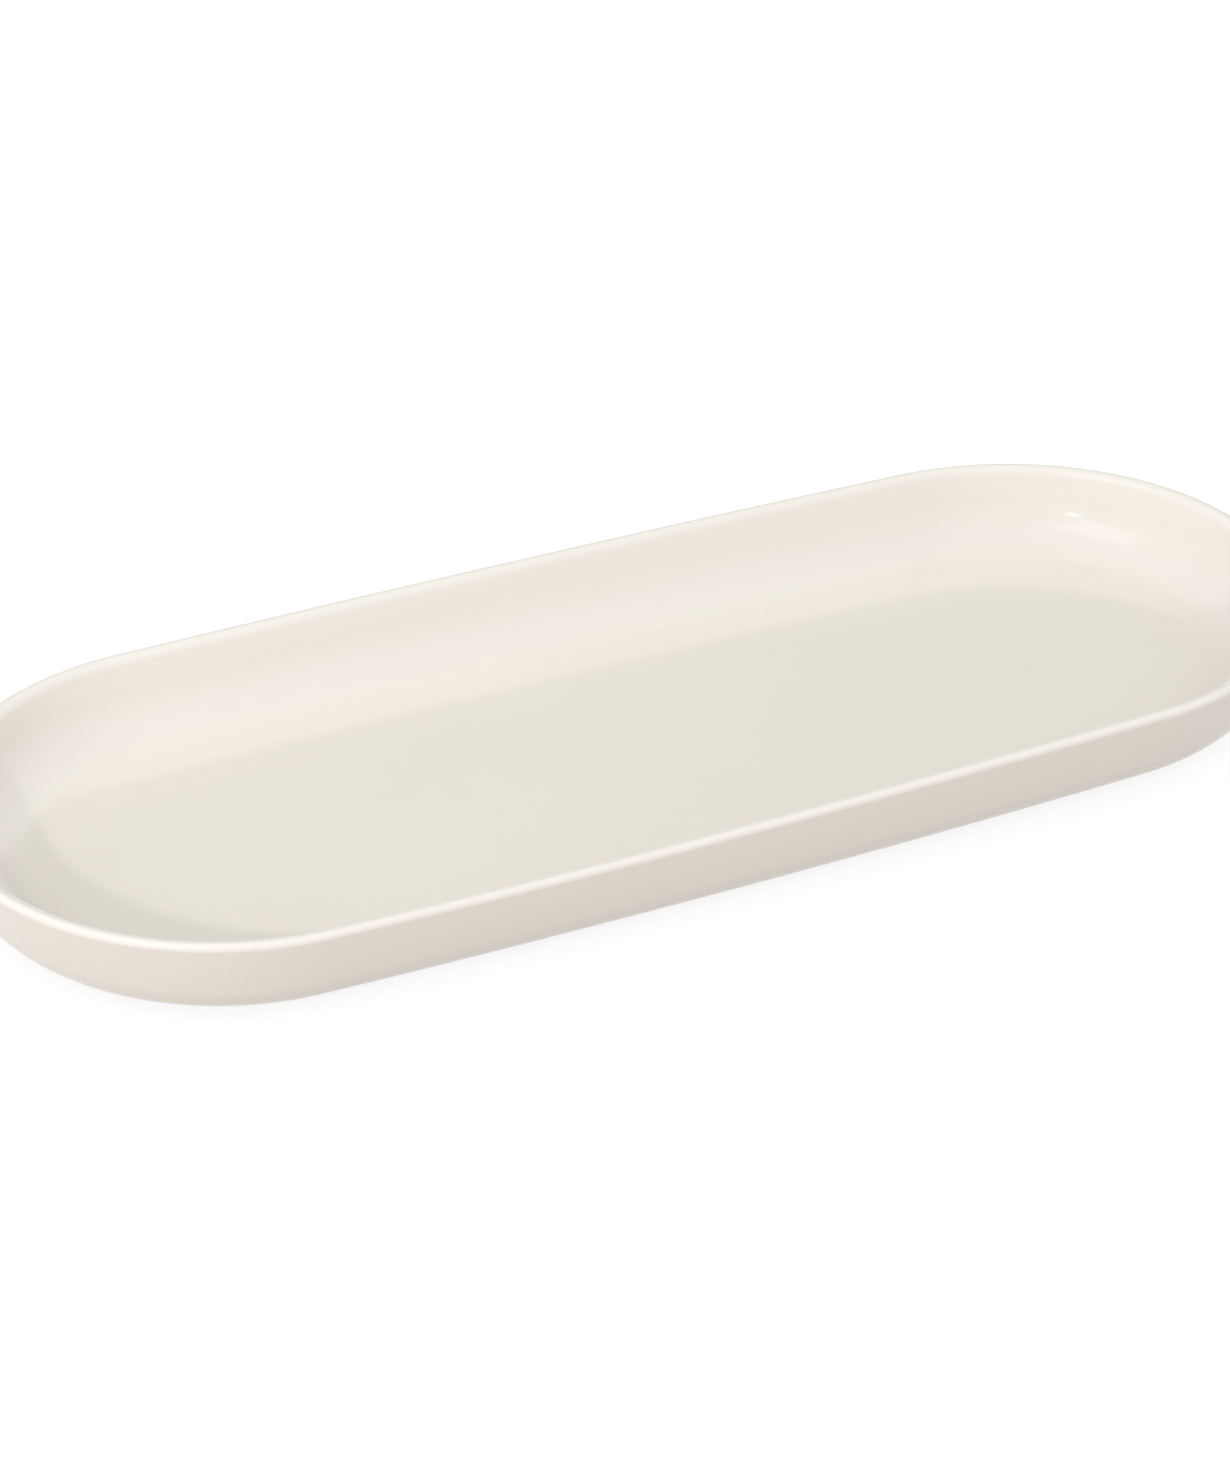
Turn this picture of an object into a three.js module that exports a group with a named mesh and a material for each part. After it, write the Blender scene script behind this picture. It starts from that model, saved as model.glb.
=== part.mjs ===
// Oblong serving plate: a pressed and fired clay body under two separate pools of glaze.
// Millimetres, +Z up. The origin is on the table under the middle of the plate, +X runs along its length.
import * as THREE from 'three';
import { mergeVertices } from 'three/addons/utils/BufferGeometryUtils.js';

// Driving dimensions, all measured on the finished, glazed surface
const LENGTH = 300; // over the rim
const WIDTH = 120; // over the rim
const SIDE_BOW = 1.3; // how far each long side swells beyond the round ends
const WELL_DEPTH = 15.5; // top of the rim down to the flat floor
const FLOOR_THICKNESS = 4.7; // flat floor down to the recessed underside
const UNDERSIDE_RECESS = 1.8; // recessed underside down to the table
const INNER_LIP_RADIUS = 2.4; // rounding of the lip towards the well
const OUTER_LIP_RADIUS = 1.2; // rounding of the lip towards the outside
const INNER_LEAN = 20; // degrees that the inner wall leans out from upright
const WELL_RADIUS = 14; // hollow curve between the floor and the inner wall
const WALL_DRAFT = 17.5; // degrees that the outer wall leans out from upright
const HEEL_RADIUS = 12; // round turn of the outer wall under the plate
const FOOT_DROP = 0.8; // lowest point of the heel down to the table
const FOOT_SETBACK = 1.4; // end of the heel in to the foot ring
const FOOT_WIDTH = 4; // across the bare foot ring
const FOOT_ROUND = 0.4; // worn edges of the foot ring
const UNDERSIDE_RADIUS = 1; // hollow curve between the foot ring and the recessed underside
const GLAZE_THICKNESS = 0.4;

// Facets along each curve
const END_STEPS = 22;
const SIDE_STEPS = 6;
const WELL_STEPS = 5;
const LIP_STEPS = 3; // for each side of the lip
const HEEL_STEPS = 5;
const EDGE_STEPS = 2;

const CREAM_GLAZE = { color: '#ebe6da', roughness: 0.12, metalness: 0 };
const BARE_CLAY = { color: '#d9cbb6', roughness: 0.85, metalness: 0 };

// Directions that the section's surface faces, in degrees: 0 is away from the plate's middle, 90 is up
const UP = 90;
const IN_FROM_ABOVE = 180;
const OUT = 0;
const DOWN = -90;
const IN_FROM_BELOW = -180;

const sine = (degrees) => Math.sin(THREE.MathUtils.degToRad(degrees));
const cosine = (degrees) => Math.cos(THREE.MathUtils.degToRad(degrees));

// Centres of the section's arcs, as an inset from the rim's outer edge and a height above the table.
// The two sides of the lip meet at its top. The inner and outer walls are the straight tangents that run from
// them to the other two arcs.
const floorHeight = UNDERSIDE_RECESS + FLOOR_THICKNESS;
const lipTop = floorHeight + WELL_DEPTH;
const innerLip = { inset: OUTER_LIP_RADIUS, height: lipTop - INNER_LIP_RADIUS };
const outerLip = { inset: OUTER_LIP_RADIUS, height: lipTop - OUTER_LIP_RADIUS };

const wellHeight = floorHeight + WELL_RADIUS;
const wellReach = INNER_LIP_RADIUS + WELL_RADIUS + (innerLip.height - wellHeight) * sine(INNER_LEAN);
const well = { inset: innerLip.inset + wellReach / cosine(INNER_LEAN), height: wellHeight };

const heelHeight = FOOT_DROP + HEEL_RADIUS;
const heelReach = HEEL_RADIUS - OUTER_LIP_RADIUS + (outerLip.height - heelHeight) * sine(WALL_DRAFT);
const heel = { inset: outerLip.inset + heelReach / cosine(WALL_DRAFT), height: heelHeight };

const footOuter = heel.inset + FOOT_SETBACK;
const footInner = footOuter + FOOT_WIDTH;
const underside = {
  inset: footInner + GLAZE_THICKNESS + UNDERSIDE_RADIUS,
  height: UNDERSIDE_RECESS - UNDERSIDE_RADIUS,
};

// Even steps from one direction to another, both included
function sweep(from, to, steps) {
  return Array.from({ length: steps + 1 }, (_, step) => THREE.MathUtils.lerp(from, to, step / steps));
}

// Points of an arc of the section, one for each direction that it faces. A hollow arc has a negative radius.
function arc(centre, radius, facings) {
  return facings.map((facing) => ({
    inset: centre.inset - radius * cosine(facing),
    height: centre.height + radius * sine(facing),
  }));
}

// The lip has a point at its top and at its widest place, so the plate measures its full size there
const innerLipFacings = sweep(IN_FROM_ABOVE - INNER_LEAN, UP, LIP_STEPS);
const outerLipFacings = [...sweep(UP, OUT, LIP_STEPS).slice(1), -WALL_DRAFT];

// The section from the edge of the floor over the lip to the end of the heel, at a depth under the glaze
function upperSection(depth) {
  return [
    ...arc(well, -WELL_RADIUS - depth, sweep(UP, IN_FROM_ABOVE - INNER_LEAN, WELL_STEPS)),
    ...arc(innerLip, INNER_LIP_RADIUS - depth, innerLipFacings),
    ...arc(outerLip, OUTER_LIP_RADIUS - depth, outerLipFacings),
    ...arc(heel, HEEL_RADIUS - depth, sweep(-WALL_DRAFT, DOWN, HEEL_STEPS)),
  ];
}

// The bare foot ring: its outer face, its worn edges and the land between them
function footSection() {
  const rise = FOOT_DROP + GLAZE_THICKNESS;
  const outerEdge = { inset: footOuter + FOOT_ROUND, height: FOOT_ROUND };
  const innerEdge = { inset: footInner - FOOT_ROUND, height: FOOT_ROUND };
  return [
    { inset: footOuter, height: rise },
    ...arc(outerEdge, FOOT_ROUND, sweep(OUT, DOWN, EDGE_STEPS)),
    ...arc(innerEdge, FOOT_ROUND, sweep(DOWN, IN_FROM_BELOW, EDGE_STEPS)),
  ];
}

// The hollow curve from the foot ring to the edge of the recessed underside, at a depth under the glaze
function undersideSection(depth) {
  return arc(underside, -UNDERSIDE_RADIUS - depth, sweep(IN_FROM_BELOW, DOWN, EDGE_STEPS));
}

// The plate's outline is an oval of four arcs: two round ends and two long, slightly bowed sides.
// Every inset of it keeps the same four centres, so it runs parallel to the rim.
const endRadius = WIDTH / 2 - SIDE_BOW;
const endCentre = LENGTH / 2 - endRadius;
const sideOffset = (endCentre ** 2 - SIDE_BOW ** 2) / (2 * SIDE_BOW);
const sideRadius = WIDTH / 2 + sideOffset;
const endSpan = Math.atan2(sideOffset, endCentre);
const sideSpan = Math.PI / 2 - endSpan;
const outlineArcs = [
  { x: endCentre, y: 0, radius: endRadius, span: endSpan, steps: END_STEPS },
  { x: 0, y: -sideOffset, radius: sideRadius, span: sideSpan, steps: SIDE_STEPS },
  { x: -endCentre, y: 0, radius: endRadius, span: endSpan, steps: END_STEPS },
  { x: 0, y: sideOffset, radius: sideRadius, span: sideSpan, steps: SIDE_STEPS },
];

// One ring of points round the plate, counter-clockwise from above. Each arc faces a quarter turn on from
// the one before it, and spans as far to each side of that.
function ring({ inset, height }) {
  return outlineArcs.flatMap(({ x, y, radius, span, steps }, quarter) =>
    Array.from({ length: steps }, (_, step) => {
      const angle = quarter * Math.PI / 2 + THREE.MathUtils.lerp(-span, span, step / steps);
      const reach = radius - inset;
      return new THREE.Vector3(x + reach * Math.cos(angle), y + reach * Math.sin(angle), height);
    }));
}

// Triangles between each ring and the next
function band(rings) {
  const triangles = [];
  for (let row = 0; row + 1 < rings.length; row += 1) {
    const near = rings[row];
    const far = rings[row + 1];
    near.forEach((point, index) => {
      const next = (index + 1) % near.length;
      triangles.push([point, far[index], far[next]]);
      triangles.push([point, far[next], near[next]]);
    });
  }
  return triangles;
}

// Triangles that close a flat ring, facing up
function lid(flatRing) {
  const contour = flatRing.map((point) => new THREE.Vector2(point.x, point.y));
  const faces = THREE.ShapeUtils.triangulateShape(contour, []);
  return faces.map((corners) => corners.map((corner) => flatRing[corner]));
}

// The same triangles, facing the other way
function turned(triangles) {
  return triangles.map(([first, second, third]) => [first, third, second]);
}

// A named solid from the triangles of its skin
function piece(name, triangles, finish) {
  const soup = new THREE.BufferGeometry().setFromPoints(triangles.flat());
  const geometry = mergeVertices(soup);
  geometry.computeVertexNormals();
  const mesh = new THREE.Mesh(geometry, new THREE.MeshStandardMaterial(finish));
  mesh.name = name;
  return mesh;
}

// Rings of the glazed surface, and of the clay under it
const upperGlaze = upperSection(0).map(ring);
const upperClay = upperSection(GLAZE_THICKNESS).map(ring);
const footClay = footSection().map(ring);
const lowerGlaze = undersideSection(0).map(ring);
const lowerClay = undersideSection(GLAZE_THICKNESS).map(ring);

// The clay body: floor, wall, lip, heel, foot ring and recessed underside
function clayBody() {
  const skin = [...upperClay, ...footClay, ...lowerClay];
  return piece('clay_body', [
    ...lid(skin.at(0)),
    ...band(skin),
    ...turned(lid(skin.at(-1))),
  ], BARE_CLAY);
}

// The glaze of the well, lip and outer wall, which lies on the clay and ends in a blunt edge under the heel
function glazeCoat() {
  return piece('glaze_coat', [
    ...lid(upperGlaze.at(0)),
    ...band(upperGlaze),
    ...band([upperGlaze.at(-1), upperClay.at(-1)]),
    ...turned(band(upperClay)),
    ...turned(lid(upperClay.at(0))),
  ], CREAM_GLAZE);
}

// The glaze of the recessed underside, which ends in a blunt edge on the inside of the foot ring
function undersideGlaze() {
  return piece('underside_glaze', [
    ...band([lowerClay.at(0), lowerGlaze.at(0)]),
    ...band(lowerGlaze),
    ...turned(lid(lowerGlaze.at(-1))),
    ...turned(band(lowerClay)),
    ...lid(lowerClay.at(-1)),
  ], CREAM_GLAZE);
}

const plate = new THREE.Group();
plate.add(clayBody(), glazeCoat(), undersideGlaze());

export default plate;
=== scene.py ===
# %% [markdown]
# # A cream serving plate
#
# This lesson dresses a long oval plate: fired clay under a glossy cream glaze, on a bare foot ring. The
# measured solids come in first as a fixed frame, and each piece made here takes the place of one of them.
# The box round the solids is kept, so that the finished plate can be measured against it at the end.

# %% Load the solids
from math import atan2, cos, pi, radians, sin

import bpy
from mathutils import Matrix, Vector, noise


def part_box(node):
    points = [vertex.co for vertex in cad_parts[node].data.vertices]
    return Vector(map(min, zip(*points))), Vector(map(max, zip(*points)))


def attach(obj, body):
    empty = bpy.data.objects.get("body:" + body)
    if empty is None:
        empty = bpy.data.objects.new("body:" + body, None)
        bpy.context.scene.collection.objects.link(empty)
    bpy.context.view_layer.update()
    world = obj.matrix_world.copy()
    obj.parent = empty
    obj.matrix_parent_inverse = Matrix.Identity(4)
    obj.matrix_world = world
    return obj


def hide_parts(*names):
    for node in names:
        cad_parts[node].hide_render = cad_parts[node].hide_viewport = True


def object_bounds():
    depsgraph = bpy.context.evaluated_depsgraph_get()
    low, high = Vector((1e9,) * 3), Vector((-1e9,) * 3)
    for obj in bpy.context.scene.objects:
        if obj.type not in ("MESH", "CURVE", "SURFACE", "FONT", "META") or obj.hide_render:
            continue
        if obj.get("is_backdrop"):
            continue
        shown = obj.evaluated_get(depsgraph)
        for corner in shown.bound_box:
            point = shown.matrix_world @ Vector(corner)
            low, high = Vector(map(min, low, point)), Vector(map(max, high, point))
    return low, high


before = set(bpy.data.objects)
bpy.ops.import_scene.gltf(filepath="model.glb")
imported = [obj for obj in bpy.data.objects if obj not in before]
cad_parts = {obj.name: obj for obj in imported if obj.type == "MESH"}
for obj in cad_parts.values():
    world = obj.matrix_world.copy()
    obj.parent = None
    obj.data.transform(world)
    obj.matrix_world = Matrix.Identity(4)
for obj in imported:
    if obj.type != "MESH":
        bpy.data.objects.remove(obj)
solid_low, solid_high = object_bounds()
MM = 0.001


def in_mm(lengths):
    """Lengths in metres as millimetres, rounded to be printed."""
    return [round(length / MM, 2) for length in lengths]


print("solids:", sorted(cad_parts), "size in mm:", in_mm(solid_high - solid_low))

# %% [markdown]
# ## Where the camera stands
#
# A long lens keeps the two ends of the plate nearly the same width, as a studio photograph does. The place
# of the camera is worked out from a turn round the plate, a rise above the table and a distance, which are
# easier to reason about than a raw position. The ends of the plate just run out of the picture.

# %% Make the camera
CAMERA_TURN = radians(-25.85)
CAMERA_RISE = radians(31.03)
CAMERA_DISTANCE = 1010.3 * MM
CAMERA_LENS = 119.57
AIM = Vector((-6.62, -2.71, 13.14)) * MM


def from_the_plate(turn, rise):
    """The direction from the plate to something at that turn round it and that rise above the table."""
    return Vector((sin(turn) * cos(rise), -cos(turn) * cos(rise), sin(rise)))


scene = bpy.context.scene
scene.view_settings.view_transform = "Standard"
camera = bpy.data.objects.new("camera", bpy.data.cameras.new("camera"))
camera.data.lens = CAMERA_LENS
camera.location = AIM + from_the_plate(CAMERA_TURN, CAMERA_RISE) * CAMERA_DISTANCE
camera.rotation_euler = (AIM - camera.location).to_track_quat("-Z", "Y").to_euler()
scene.collection.objects.link(camera)
scene.camera = camera
print("camera at", in_mm(camera.location), "mm")

# %% [markdown]
# ## The outline
#
# From above, the rim is an oval of four arcs: two round ends, and two long sides that swell a little.
# Stations are set along it, each with its arc's centre and radius and the way it faces. Moving in from the
# rim by some inset only shortens the radius, so every ring of the plate runs parallel to the rim, and the
# rings never cross.

# %% Set out the stations
glaze_low, glaze_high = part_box("glaze_coat")
LENGTH, WIDTH = (glaze_high - glaze_low).xy
SIDE_BOW = 1.3 * MM
HALF_END_STATIONS = 44
SIDE_STATIONS = 48


def set_out_stations():
    """Centre, radius and direction of each station, counter-clockwise from the tip at +X."""
    end_radius = WIDTH / 2 - SIDE_BOW
    end_centre = LENGTH / 2 - end_radius
    side_offset = (end_centre**2 - SIDE_BOW**2) / (2 * SIDE_BOW)
    side_radius = WIDTH / 2 + side_offset
    span = atan2(side_offset, end_centre)
    right, left = Vector((end_centre, 0)), Vector((-end_centre, 0))
    behind, ahead = Vector((0, -side_offset)), Vector((0, side_offset))
    arcs = [
        (right, end_radius, 0, span, HALF_END_STATIONS),
        (behind, side_radius, span, pi - span, SIDE_STATIONS),
        (left, end_radius, pi - span, pi + span, 2 * HALF_END_STATIONS),
        (ahead, side_radius, pi + span, 2 * pi - span, SIDE_STATIONS),
        (right, end_radius, 2 * pi - span, 2 * pi, HALF_END_STATIONS),
    ]
    for centre, radius, start, end, count in arcs:
        for step in range(count):
            angle = start + (end - start) * step / count
            yield centre, radius, Vector((cos(angle), sin(angle)))


stations = list(set_out_stations())
print("stations round the plate:", len(stations))

# %% [markdown]
# ## The section
#
# Cut across, the wall is a chain of arcs with straight runs between: the hollow curve of the well, a lip
# that is rounder inside than outside, and the heel that turns under. Each point is an inset from the rim
# and a height above the table. An arc is swept by the direction its surface faces, so the clay under the
# glaze is the same arcs with the glaze's thickness taken off each radius. A hollow arc simply has a
# negative radius.

# %% Draw the section's arcs
WELL_DEPTH = 15.5 * MM
WELL_RADIUS = 14 * MM
INNER_LEAN = radians(20)
INNER_LIP_RADIUS = 2.4 * MM
OUTER_LIP_RADIUS = 1.2 * MM
WALL_DRAFT = radians(17.5)
HEEL_RADIUS = 12 * MM

UP, OUT, DOWN = pi / 2, 0, -pi / 2
INNER_WALL = pi - INNER_LEAN
OUTER_WALL = -WALL_DRAFT

rim_top, heel_bottom = glaze_high.z, glaze_low.z
floor_height = rim_top - WELL_DEPTH
inner_lip = (OUTER_LIP_RADIUS, rim_top - INNER_LIP_RADIUS)
outer_lip = (OUTER_LIP_RADIUS, rim_top - OUTER_LIP_RADIUS)


def below_the_lip(lip, apart, height, lean):
    """Centre of an arc at that height whose wall runs straight into one side of the lip at that lean.

    Measured square to the wall, the two centres are that far apart: by the sum of their radii for a hollow
    arc, and by the difference for a round one.
    """
    reach = (apart + (lip[1] - height) * sin(lean)) / cos(lean)
    return lip[0] + reach, height


well = below_the_lip(inner_lip, INNER_LIP_RADIUS + WELL_RADIUS, floor_height + WELL_RADIUS, INNER_LEAN)
heel = below_the_lip(outer_lip, HEEL_RADIUS - OUTER_LIP_RADIUS, heel_bottom + HEEL_RADIUS, WALL_DRAFT)


def on_arc(centre, radius, facing):
    """The point of an arc where its surface faces that way."""
    return centre[0] - radius * cos(facing), centre[1] + radius * sin(facing)


def arc(centre, radius, start, end, steps):
    """Points of an arc, in even steps from one direction that its surface faces to another."""
    return [on_arc(centre, radius, start + (end - start) * step / steps) for step in range(steps + 1)]


print("centres of the hollow and the heel, inset and height in mm:", in_mm(well), in_mm(heel))

# %% [markdown]
# ## What the kiln does
#
# Clay softens in the kiln, and a long plate never comes out quite true. The foot stays flat on the shelf,
# but here the two ends have lifted by almost a millimetre and the corners have twisted by over half of one.
# A slow wander on top keeps the lip from being a perfect curve. All pieces go through the same function, so
# they stay nested, and the straight highlights that give away a computer model are gone. The pattern of
# vector noise starts from the clock unless a seed is set, so the seed is fixed here, and the plate comes out
# the same each time.

# %% Warp the points as the kiln does
END_LIFT = 0.94 * MM
CORNER_TWIST = 0.58 * MM
WANDER = 0.2 * MM
WANDER_LENGTH = 85 * MM
WANDER_SEED = 1
GLAZE_THICKNESS = 0.4 * MM

noise.seed_set(WANDER_SEED)
foot_top = heel_bottom + GLAZE_THICKNESS


def fired(point):
    """The point as it leaves the kiln."""
    along, across = 2 * point.x / LENGTH, 2 * point.y / WIDTH
    lift = END_LIFT * along**2 - CORNER_TWIST * along * across
    off_the_shelf = min(1.0, point.z / foot_top)
    wander = noise.noise_vector(point / WANDER_LENGTH) * WANDER * (point.z / rim_top) ** 2
    return point + wander + Vector((0, 0, lift * off_the_shelf))


tip = Vector((LENGTH / 2, 0, rim_top))
print("the tip at +X moves by, mm:", in_mm(fired(tip) - tip))

# %% [markdown]
# ## From a section to a mesh
#
# A section at every station gives a grid of points, and the grid becomes a skin of quads. The flat floor is
# covered by more rings that close in on a thin core along the plate's middle, and a strip of quads fills
# the core. Spinning a curve would only make a round dish, and a loft along the outline keeps the points even.

# %% Make the skin builder
CORE_INSET = 57 * MM
FLOOR_STEPS = 9


def flat(inset, height):
    """Rings of a flat face from the core out to an inset, without the one at that inset."""
    return [(CORE_INSET + (inset - CORE_INSET) * step / FLOOR_STEPS, height) for step in range(FLOOR_STEPS)]


def band_faces(rows, columns):
    """Quads between the points of each station and those of the next."""
    for column in range(columns):
        here, there = column * rows, (column + 1) % columns * rows
        for row in range(rows - 1):
            yield here + row, here + row + 1, there + row + 1, there + row


def core_faces(rows, columns):
    """Strips of quads over the two cores. At the tips two corners are one, which leaves a triangle."""
    for row, turn in ((0, 1), (rows - 1, -1)):
        for column in range(columns // 2):
            across = (column, column + 1, columns - column - 1, (columns - column) % columns)
            corners = [rows * corner + row for corner in dict.fromkeys(across)]
            yield corners[::turn]


def skin(name, sections):
    """A closed smooth mesh from one section for each station. A section runs from core to core."""
    points = []
    for (centre, radius, direction), section in zip(stations, sections):
        for inset, height in section:
            place = centre + direction * (radius - inset)
            points.append(fired(Vector((*place, height))))
    rows, columns = len(sections[0]), len(stations)
    faces = [*band_faces(rows, columns), *core_faces(rows, columns)]
    mesh = bpy.data.meshes.new(name)
    mesh.from_pydata(points, [], faces)
    mesh.shade_smooth()
    piece = bpy.data.objects.new(name, mesh)
    scene.collection.objects.link(piece)
    print(name, "has", len(points), "points and", len(faces), "faces")
    return piece


# %% [markdown]
# ## The glaze over the well, lip and wall
#
# Glaze is a skin of glass about as thick as a fingernail. It could be left to a shader on the clay, but a
# real skin with its own edge shows where the glass stops above the foot, which is what tells glazed ware
# from plastic. The edge is rounded by the pull of the melt, and wanders a little where it was wiped with a
# sponge.

# %% Lay the upper glaze
GLAZE_STOP = radians(-84)
WIPE_WANDER = radians(2.5)
WIPE_LENGTH = 22 * MM
WELL_STEPS, LIP_STEPS, HEEL_STEPS, EDGE_STEPS = 16, 10, 18, 5


def upper_face(depth, stop):
    """The face from the core of the floor over the lip to where it stops, at a depth under the glaze.

    The lip's two arcs share their top point, so the second one leaves it out.
    """
    return [
        *flat(well[0], floor_height - depth),
        *arc(well, -WELL_RADIUS - depth, UP, INNER_WALL, WELL_STEPS),
        *arc(inner_lip, INNER_LIP_RADIUS - depth, INNER_WALL, UP, LIP_STEPS),
        *arc(outer_lip, OUTER_LIP_RADIUS - depth, UP, OUTER_WALL, LIP_STEPS)[1:],
        *arc(heel, HEEL_RADIUS - depth, OUTER_WALL, stop, HEEL_STEPS),
    ]


def rounded_edge(centre, radius, stop):
    """The round edge of the glaze, from its face down to the clay."""
    edge = []
    for step in range(1, EDGE_STEPS):
        turn = pi / 2 * step / EDGE_STEPS
        facing = stop - GLAZE_THICKNESS * sin(turn) / abs(radius)
        edge.append(on_arc(centre, radius - GLAZE_THICKNESS * (1 - cos(turn)), facing))
    return edge


def upper_glaze_section(centre, radius, direction):
    """The glaze at a station: its face, its edge where the sponge left it, and its back on the clay."""
    place = (centre + direction * radius) / WIPE_LENGTH
    stop = GLAZE_STOP + WIPE_WANDER * noise.noise(Vector((*place, 0)))
    return [
        *upper_face(0, stop),
        *rounded_edge(heel, HEEL_RADIUS, stop),
        *reversed(upper_face(GLAZE_THICKNESS, stop - GLAZE_THICKNESS / HEEL_RADIUS)),
    ]


upper_glaze = skin("upper_glaze", [upper_glaze_section(*station) for station in stations])

# %% [markdown]
# ## The clay
#
# The clay is one pressed piece: floor, wall, lip, and the foot ring that keeps the glaze off the kiln shelf.
# It shows only below the glaze line, but it is modelled whole, so that the glaze lies on something real. The
# foot is rounded by the sponge and by wear, and a small hollow joins it to the heel, as clay has no sharp
# corners.

# %% Press the clay
pool_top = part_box("underside_glaze")[1].z
FOOT_SETBACK = 1.4 * MM
FOOT_WIDTH = 4 * MM
FOOT_ROUND = 0.4 * MM
FOOT_STEPS = 6
UNDERSIDE_RADIUS = 1 * MM
IN_FROM_BELOW = -pi

foot_outer = heel[0] + FOOT_SETBACK
foot_inner = foot_outer + FOOT_WIDTH
underside_height = pool_top - GLAZE_THICKNESS
underside = (foot_inner + GLAZE_THICKNESS + UNDERSIDE_RADIUS, underside_height - UNDERSIDE_RADIUS)


def underside_face(depth):
    """The recessed underside from the foot ring to the core, at a depth under its glaze."""
    return [
        *arc(underside, -UNDERSIDE_RADIUS - depth, IN_FROM_BELOW, DOWN, FOOT_STEPS),
        *reversed(flat(underside[0], underside_height + depth)),
    ]


def clay_section():
    """The clay from the core of the floor, over the lip and round the foot, to the core underneath."""
    hollow = (foot_outer - FOOT_ROUND, foot_top - FOOT_ROUND)
    outer_edge = (foot_outer + FOOT_ROUND, FOOT_ROUND)
    inner_edge = (foot_inner - FOOT_ROUND, FOOT_ROUND)
    return [
        *upper_face(GLAZE_THICKNESS, DOWN),
        *arc(hollow, -FOOT_ROUND, DOWN, OUT, FOOT_STEPS),
        *arc(outer_edge, FOOT_ROUND, OUT, DOWN, FOOT_STEPS),
        *arc(inner_edge, FOOT_ROUND, DOWN, IN_FROM_BELOW, FOOT_STEPS),
        *underside_face(GLAZE_THICKNESS),
    ]


clay = skin("fired_clay", [clay_section()] * len(stations))

# %% [markdown]
# ## The glaze under the plate
#
# The recess inside the foot ring is glazed too, as a pool of its own, because the ring between is wiped
# bare. It is the same kind of skin the other way up, with its round edge on the inside of the ring. The
# first points of the face give way to that edge.

# %% Lay the lower glaze
POINTS_GIVEN_WAY = 2


def lower_glaze_section():
    """The pool from core to core: its back on the clay, its round edge and its face."""
    edge = rounded_edge(underside, -UNDERSIDE_RADIUS, IN_FROM_BELOW + GLAZE_THICKNESS / UNDERSIDE_RADIUS)
    face = underside_face(0)[POINTS_GIVEN_WAY:]
    return [*reversed(underside_face(GLAZE_THICKNESS)), *reversed(edge), *face]


lower_glaze = skin("lower_glaze", [lower_glaze_section()] * len(stations))

# %% [markdown]
# ## Helpers for materials
#
# All finishes here are mixed from nodes and the piece's own coordinates, with no pictures. Five small
# helpers keep that readable: one starts a material, one adds a node, one fills a node's inputs, one moves a
# value from one range to another, and one blends two colours.

# %% Write the material helpers


def start_material(name):
    """A new material, with its node tree and its surface shader."""
    material = bpy.data.materials.new(name)
    material.use_nodes = True
    return material, material.node_tree, material.node_tree.nodes["Principled BSDF"]


def add(tree, kind, inputs, **settings):
    """A new node, with its settings made and its inputs filled."""
    node = tree.nodes.new("ShaderNode" + kind)
    for name, value in settings.items():
        setattr(node, name, value)
    fill(tree, node, inputs)
    return node


def fill(tree, node, inputs):
    """Fill the inputs of a node: sockets are linked, and plain values are written."""
    for name, value in inputs.items():
        if isinstance(value, bpy.types.NodeSocket):
            tree.links.new(value, node.inputs[name])
        else:
            node.inputs[name].default_value = value


def moved(tree, value, start, end, low=0.0, high=1.0, **settings):
    """A value that runs from start to end, moved so that it runs from low to high."""
    ends = {"From Min": start, "From Max": end, "To Min": low, "To Max": high}
    return add(tree, "MapRange", {"Value": value, **ends}, **settings).outputs["Result"]


def blend(tree, share, first, second):
    """The first colour with a share of the second in it."""
    return add(tree, "Mix", {"Factor": share, "A": first, "B": second}, data_type="RGBA").outputs["Result"]


# %% [markdown]
# ## Specks and noise
#
# Iron grains in the clay melt into small brown specks, and gas leaves pinholes. Both are spots strewn at
# random through space: a spot shows where the surface happens to cut through it, so no two are the same
# size. Only some of the cells of the pattern get a spot, which keeps them from lying in rows.

# %% Strew the spots
SPOT_CORE = 0.6  # share of a spot's radius inside which it is full


def cloud(tree, place, length, detail=2):
    """Soft noise whose patches are about that long."""
    return add(tree, "TexNoise", {"Vector": place, "Scale": 1 / length, "Detail": detail}).outputs["Fac"]


def spots(tree, place, spacing, radius, share):
    """One inside round spots of up to that radius, in that share of the cells, and zero between them."""
    cells = add(tree, "TexVoronoi", {"Vector": place, "Scale": 1 / spacing}).outputs
    inside = moved(tree, cells["Distance"], radius / spacing, SPOT_CORE * radius / spacing)
    lot = add(tree, "SeparateColor", {"Color": cells["Color"]}).outputs["Red"]
    chosen = add(tree, "Math", {0: lot, 1: share}, operation="LESS_THAN").outputs[0]
    return add(tree, "Math", {0: inside, 1: chosen}, operation="MULTIPLY").outputs[0]
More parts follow.
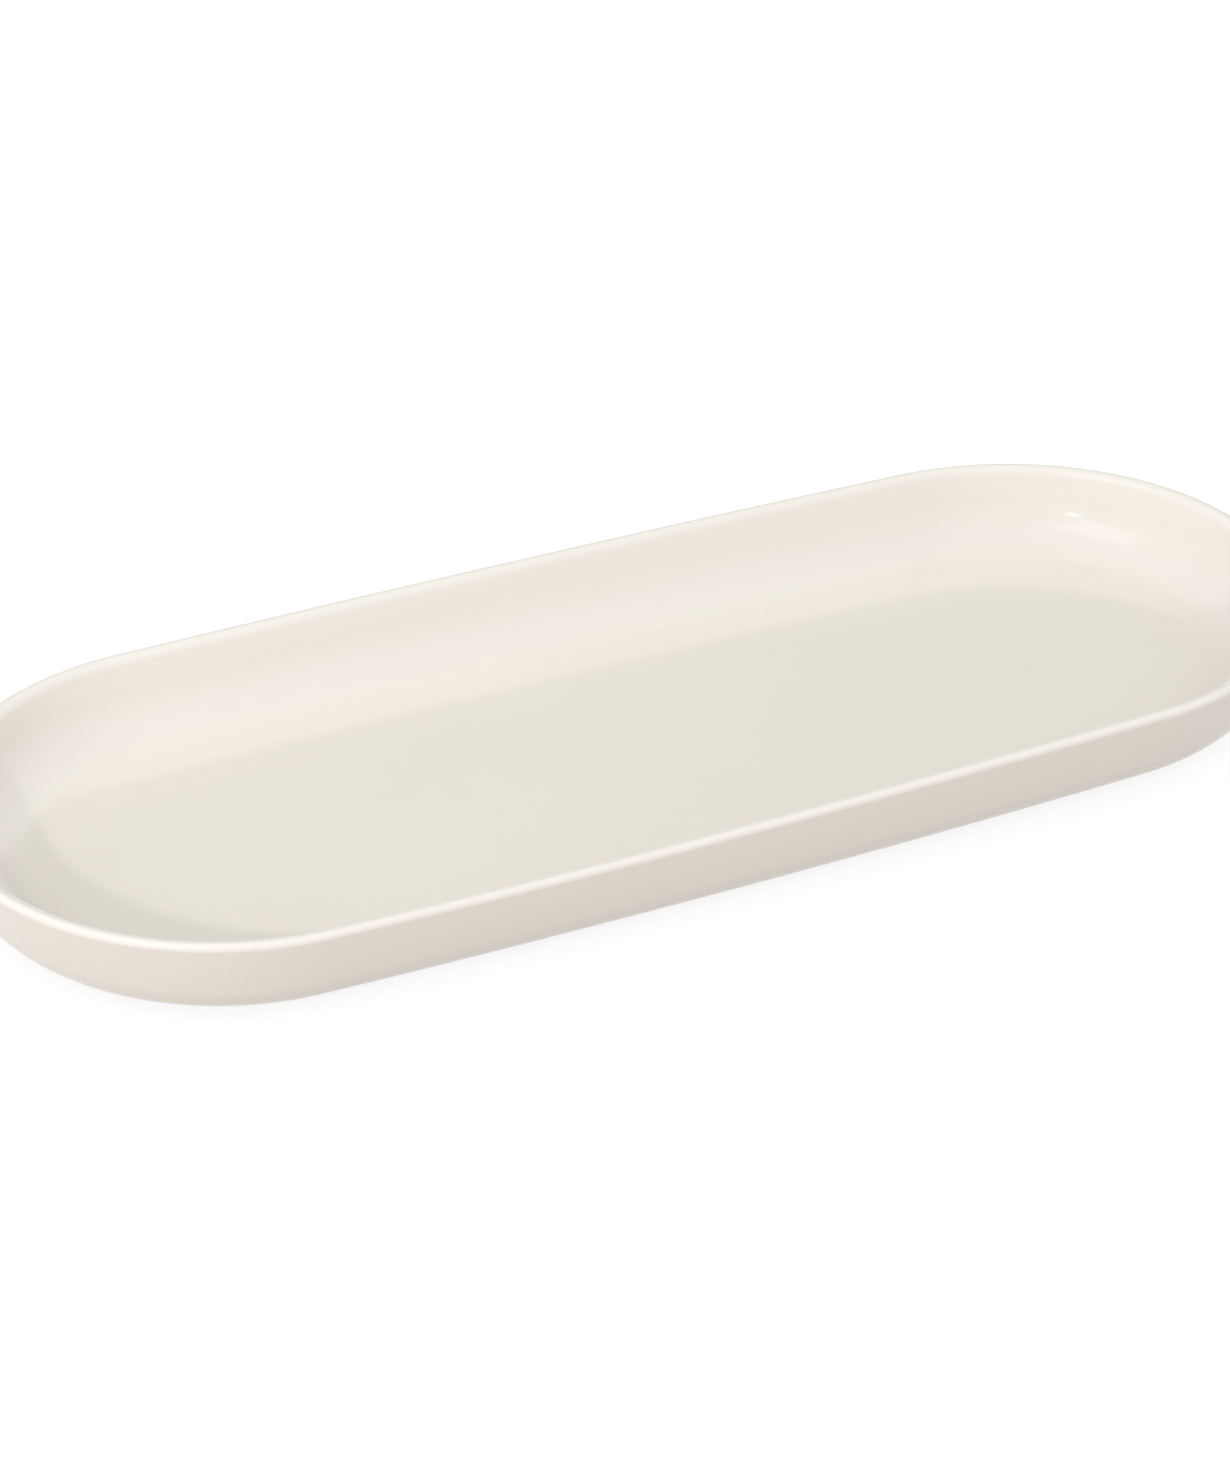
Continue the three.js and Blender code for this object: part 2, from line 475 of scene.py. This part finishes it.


# %% [markdown]
# ## A cream glaze
#
# The cream drifts slowly over some centimetres, as the thickness of the glaze does. It is a little less
# yellow on the wall, where it runs as it melts, and paler over the lip, where it is thinnest. The outside is
# painted warmer and a little darker: that is painted light, the warm light that the table bounces up at the
# faces that lean down. The normal tells these places apart: the floor faces up, the wall leans, and faces
# that lean down can only be on the outside. A few faint iron specks lie in the glaze. One flat colour would
# look like plastic.

# %% Tint the glaze
CREAM = (0.785, 0.750, 0.682, 1)
CREAM_DEEP = (0.760, 0.722, 0.645, 1)
CREAM_DRIFT = 45 * MM
CREAM_RUN = (0.770, 0.733, 0.678, 1)
RUN_UPWARD = (0.99, 0.9)  # the normal's upward part where the tint starts, and where it is full
RUN_SHARE = 0.8
# painted light: a warmer, darker cream for the light the table bounces up at the faces that lean down
PAINTED_BOUNCE_CREAM = (0.762, 0.709, 0.641, 1)
PAINTED_BOUNCE_UPWARD = (0.1, -0.25)  # the same, for the outside
CREAM_THIN = (0.785, 0.755, 0.700, 1)
THIN_DEPTH = 1.2 * MM  # below the top of the lip
THIN_SHARE = 0.6
IRON = (0.36, 0.27, 0.19, 1)
SPECKS = {"spacing": 9 * MM, "radius": 0.22 * MM, "share": 0.3}
SPECK_STRENGTH = 0.4


def tint_glaze(tree, place):
    """The colour of the glaze at each place."""
    height = add(tree, "SeparateXYZ", {"Vector": place}).outputs["Z"]
    normal = add(tree, "NewGeometry", {}).outputs["Normal"]
    upward = add(tree, "SeparateXYZ", {"Vector": normal}).outputs["Z"]
    colour = blend(tree, cloud(tree, place, CREAM_DRIFT, detail=3), CREAM, CREAM_DEEP)
    colour = blend(tree, moved(tree, upward, *RUN_UPWARD, high=RUN_SHARE), colour, CREAM_RUN)
    # painted bounce light from the table, laid on the faces that lean down
    colour = blend(tree, moved(tree, upward, *PAINTED_BOUNCE_UPWARD), colour, PAINTED_BOUNCE_CREAM)
    thin = moved(tree, height, rim_top - THIN_DEPTH, rim_top, high=THIN_SHARE)
    colour = blend(tree, thin, colour, CREAM_THIN)
    specks = moved(tree, spots(tree, place, **SPECKS), 0, 1, high=SPECK_STRENGTH)
    return blend(tree, specks, colour, IRON)


# %% [markdown]
# ## Its surface
#
# Melted glass sets with a faint ripple and a few pinholes, which bump nodes can carry because they are far
# thinner than the glaze. It is glossy but not a mirror, and a little duller on the lip, where hands and the
# stack in the cupboard rub it.

# %% Mix the glaze
GLAZE_INDEX = 1.52
GLAZE_ROUGHNESS = (0.12, 0.17)
GLOSS_PATCH = 12 * MM
GLOSS_CLOUD = (0.3, 0.7)  # values of the noise where the glaze is smoothest, and roughest
RUB_DEPTH = 0.8 * MM  # below the top of the lip
RUB_ROUGHNESS = 0.06
RIPPLE_LENGTH = 6 * MM
RIPPLE_HEIGHT = 0.018 * MM
PINHOLES = {"spacing": 5 * MM, "radius": 0.2 * MM, "share": 0.3}
PINHOLE_DEPTH = 0.06 * MM


def mix_glaze(name):
    """A glossy cream glaze."""
    material, tree, shader = start_material(name)
    place = add(tree, "TexCoord", {}).outputs["Object"]
    height = add(tree, "SeparateXYZ", {"Vector": place}).outputs["Z"]
    patchy = moved(tree, cloud(tree, place, GLOSS_PATCH), *GLOSS_CLOUD, *GLAZE_ROUGHNESS)
    rubbed = moved(tree, height, rim_top - RUB_DEPTH, rim_top, high=RUB_ROUGHNESS)
    roughness = add(tree, "Math", {0: patchy, 1: rubbed}, operation="ADD").outputs[0]
    waves = cloud(tree, place, RIPPLE_LENGTH)
    ripple = add(tree, "Bump", {"Height": waves, "Distance": RIPPLE_HEIGHT, "Strength": 1})
    holes = spots(tree, place, **PINHOLES)
    surface = add(tree, "Bump", {"Height": holes, "Distance": PINHOLE_DEPTH, "Strength": 1,
                                 "Normal": ripple.outputs["Normal"]}, invert=True)
    fill(tree, shader, {"Base Color": tint_glaze(tree, place), "Roughness": roughness,
                        "Normal": surface.outputs["Normal"], "IOR": GLAZE_INDEX})
    print(name, "has", len(tree.nodes), "nodes")
    return material


cream_glaze = mix_glaze("cream_glaze")

# %% [markdown]
# ## Bare clay
#
# The foot ring is the one place where the clay shows. Fired stoneware is pale buff, with a fine grain, dark
# grains of iron and streaks left by the sponge. Its edges are rubbed paler by every table it has stood on,
# which the pointiness of the mesh finds.

# %% Mix the clay
BUFF = (0.62, 0.53, 0.43, 1)
BUFF_DARK = (0.50, 0.41, 0.31, 1)
BUFF_WORN = (0.72, 0.65, 0.55, 1)
STREAK_LENGTH = 9 * MM
STREAK_CLOUD = (0.35, 0.65)  # values of the noise where a streak starts, and where it is full
GRAIN_LENGTH = 0.5 * MM
GRAIN_CLOUD = (0.4, 0.7)  # the same, for a pale grain
GRAIN_SHARE = 0.5
GRAIN_HEIGHT = 0.05 * MM
WORN_POINTINESS = (0.52, 0.6)
WORN_SHARE = 0.8
IRON_GRAINS = {"spacing": 1.6 * MM, "radius": 0.22 * MM, "share": 0.5}
CLAY_ROUGHNESS = (0.78, 0.92)


def mix_clay(name):
    """Bare fired clay, fine grained and matt."""
    material, tree, shader = start_material(name)
    place = add(tree, "TexCoord", {}).outputs["Object"]
    grain = cloud(tree, place, GRAIN_LENGTH, detail=4)
    streaks = cloud(tree, place, STREAK_LENGTH, detail=5)
    colour = blend(tree, moved(tree, streaks, *STREAK_CLOUD), BUFF, BUFF_DARK)
    colour = blend(tree, moved(tree, grain, *GRAIN_CLOUD, high=GRAIN_SHARE), colour, BUFF_WORN)
    edges = add(tree, "NewGeometry", {}).outputs["Pointiness"]
    colour = blend(tree, moved(tree, edges, *WORN_POINTINESS, high=WORN_SHARE), colour, BUFF_WORN)
    colour = blend(tree, spots(tree, place, **IRON_GRAINS), colour, IRON)
    bump = add(tree, "Bump", {"Height": grain, "Distance": GRAIN_HEIGHT, "Strength": 1})
    roughness = moved(tree, grain, 0, 1, *CLAY_ROUGHNESS)
    fill(tree, shader, {"Base Color": colour, "Roughness": roughness, "Normal": bump.outputs["Normal"]})
    print(name, "has", len(tree.nodes), "nodes")
    return material


bare_clay = mix_clay("bare_clay")

# %% [markdown]
# ## Dressing the frame
#
# Each piece gets its finish and is tied to the frame: it rides with the plate and takes the place of its
# solid.

# %% Dress the pieces
for piece, node, slot, finish in (
    (upper_glaze, "glaze_coat", "cream_glaze", cream_glaze),
    (clay, "clay_body", "fired_clay", bare_clay),
    (lower_glaze, "underside_glaze", "underside_cream_glaze", cream_glaze),
):
    piece.data.materials.append(finish)
    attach(piece, "root")
    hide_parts(node)
    print(piece.name, "takes the place of", node)

# %% [markdown]
# ## The table
#
# The plate stands on white paper. What the paper sends up at the wall comes from its colour alone, as it
# would on a table. What the camera and the reflections see of it is a darker colour with some light of its
# own added: together they make the open paper white, and leave only a faint, soft shadow under the plate.

# %% Roll out the paper
PAPER_SIZE = 8.0
PAPER = (0.62, 0.60, 0.59, 1)
PAPER_SEEN = (0.16, 0.16, 0.16, 1)
PAPER_LIFT = 0.86
PAPER_ROUGHNESS = 0.9
WHITE = (1, 1, 1, 1)

bpy.ops.mesh.primitive_plane_add(size=PAPER_SIZE)
floor = bpy.context.object
floor.name = "paper"
paper, tree, shader = start_material("paper")
rays = add(tree, "LightPath", {}).outputs
seen = add(tree, "Math", {0: rays["Is Camera Ray"], 1: rays["Is Glossy Ray"]}, operation="ADD").outputs[0]
seen = add(tree, "Math", {0: seen, 1: rays["Is Transmission Ray"]}, operation="ADD").outputs[0]
lift = add(tree, "Math", {0: seen, 1: PAPER_LIFT}, operation="MULTIPLY").outputs[0]
fill(tree, shader, {"Base Color": blend(tree, seen, PAPER, PAPER_SEEN), "Roughness": PAPER_ROUGHNESS,
                    "Emission Color": WHITE, "Emission Strength": lift})
floor.data.materials.append(paper)
floor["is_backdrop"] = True
print("a sheet of paper", PAPER_SIZE, "m across")

# %% [markdown]
# ## The light
#
# A tent of white cloth wraps the plate in even light, with a dark opening behind it, above a low sill of
# cloth. Next to the far wall the flat floor of the well mirrors that wall. Nearer the middle it looks past
# the lip into the opening, and the line along the floor is where the image of the lip ends: the narrower the
# opening's blurred edge, the more evenly dark the floor, and the clearer the line. The world is enough for
# the tent, since cloth that far off throws no sharp shadow.

# %% Pitch the tent
TENT = 0.99
OPENING = from_the_plate(radians(170), 0)
OPENING_DARK = cos(radians(36))
OPENING_END = cos(radians(44))
OPENING_LIGHT = 0.06
SILL_START = sin(radians(9))
SILL_END = sin(radians(16))

world = bpy.data.worlds.new("tent")
world.use_nodes = True
tree = world.node_tree
where = add(tree, "TexCoord", {}).outputs["Generated"]
towards = add(tree, "VectorMath", {0: where, 1: OPENING}, operation="DOT_PRODUCT").outputs["Value"]
in_reach = moved(tree, towards, OPENING_END, OPENING_DARK, interpolation_type="SMOOTHSTEP")
height = add(tree, "SeparateXYZ", {"Vector": where}).outputs["Z"]
over_sill = moved(tree, height, SILL_START, SILL_END)
dark = add(tree, "Math", {0: in_reach, 1: over_sill}, operation="MULTIPLY").outputs[0]
light = moved(tree, dark, 0, 1, TENT, TENT * OPENING_LIGHT)
fill(tree, tree.nodes["Background"], {"Color": WHITE, "Strength": light})
scene.world = world
print("the tent has", len(tree.nodes), "nodes")

# %% [markdown]
# ## The lamps
#
# Three lamps stand at the left. A small one throws the shadow of the lip across the floor at the left end.
# Its image in the glaze would be a hard white spot, so it is left out of reflections, as a polarising filter
# leaves out a lamp in a photo. A second small one, about a tenth as strong, puts a spark on the wall at the
# right end, and a large softbox, further round and higher up, lays a wide faint glow beside it. The size of
# a lamp matters as much as its power: a small one gives crisp shadows and highlights, and a large one gives
# soft ones.

# %% Set up the lamps
LAMP_DISTANCE = 1.5


def set_up_lamp(name, turn, rise, size, power, mirrored=True):
    """A square lamp that faces the plate, and shows in reflections if it is mirrored."""
    lamp = bpy.data.objects.new(name, bpy.data.lights.new(name, "AREA"))
    lamp.data.size = size
    lamp.data.energy = power
    lamp.visible_glossy = mirrored
    lamp.location = from_the_plate(radians(turn), radians(rise)) * LAMP_DISTANCE
    lamp.rotation_euler = (-lamp.location).to_track_quat("-Z", "Y").to_euler()
    scene.collection.objects.link(lamp)
    print(name, "at", in_mm(lamp.location), "mm")


set_up_lamp("small_lamp", turn=-57, rise=25.5, size=0.07, power=4.7, mirrored=False)
set_up_lamp("spark_lamp", turn=-54, rise=38, size=0.07, power=0.5)
set_up_lamp("softbox", turn=-80, rise=57, size=0.72, power=2.2)

# %% [markdown]
# ## Measuring
#
# Last, the dressed plate is measured in the same way as the solids were, and both boxes are written down.
# The kiln's warp makes it a millimetre taller at the ends.

# %% Measure and finish
made_low, made_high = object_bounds()
print("dressed size in mm:", in_mm(made_high - made_low))
